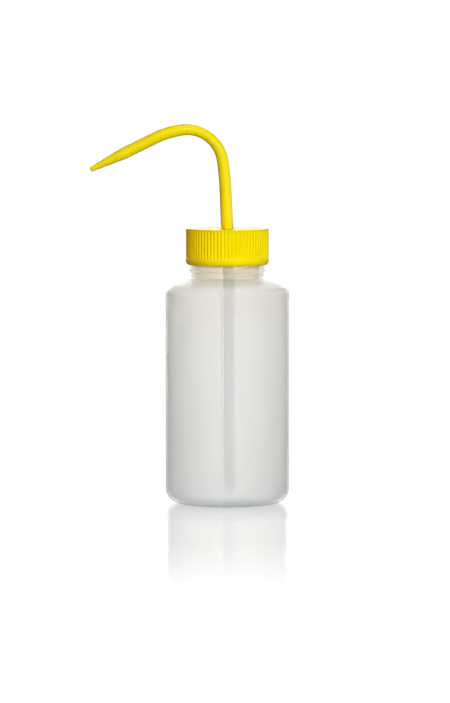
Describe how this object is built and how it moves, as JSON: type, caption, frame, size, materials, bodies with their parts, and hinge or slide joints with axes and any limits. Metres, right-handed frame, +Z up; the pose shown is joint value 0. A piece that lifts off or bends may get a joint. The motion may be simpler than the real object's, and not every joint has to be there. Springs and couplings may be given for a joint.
{
  "type": "wash bottle",
  "caption": "Wide-neck translucent squeeze bottle with a ribbed yellow screw cap, a bent yellow delivery spout with a tapered jet tip, and a dip tube.",
  "frame": {"origin": "centre of the bottle's flat foot, on the bottle's axis", "axes": "+Z up along the bottle's axis, -X the way the spout points at rest, +Y completes the right-handed frame"},
  "size_m": [0.1211, 0.075, 0.2306],
  "materials": {
    "natural_ldpe": "translucent natural low-density polyethylene, satin, milky",
    "yellow_cap": "opaque yellow moulded polypropylene, satin gloss",
    "yellow_spout": "yellow low-density polyethylene, soft gloss",
    "white_insert": "natural white polyethylene, satin",
    "soft_seal": "closed-cell polyethylene foam, matt",
    "tubing": "translucent extruded polyethylene tubing, satin"
  },
  "bodies": {
    "bottle": {"bottle": "natural_ldpe"},
    "closure": {"spout_insert": "white_insert", "sealing_ring": "soft_seal", "dip_tube": "tubing"},
    "cap": {"screw_cap": "yellow_cap"},
    "spout": {"spout": "yellow_spout"}
  },
  "joints": [
    {"name": "closure_lift", "type": "slide", "parent": "bottle", "child": "closure", "axis": [0, 0, 1], "range_m": [0, 0.00901]},
    {"name": "cap_turn", "type": "hinge", "parent": "closure", "child": "cap", "pos_m": [0, 0, 0.156], "axis": [0, 0, 1], "range_deg": [0, 810]},
    {"name": "spout_swivel", "type": "hinge", "parent": "closure", "child": "spout", "pos_m": [0, 0, 0.167], "axis": [0, 0, 1], "continuous": true}
  ],
  "couplings": [
    {"joint": "closure_lift", "follows": "cap_turn", "m_per_rad": 0.00063662}
  ]
}
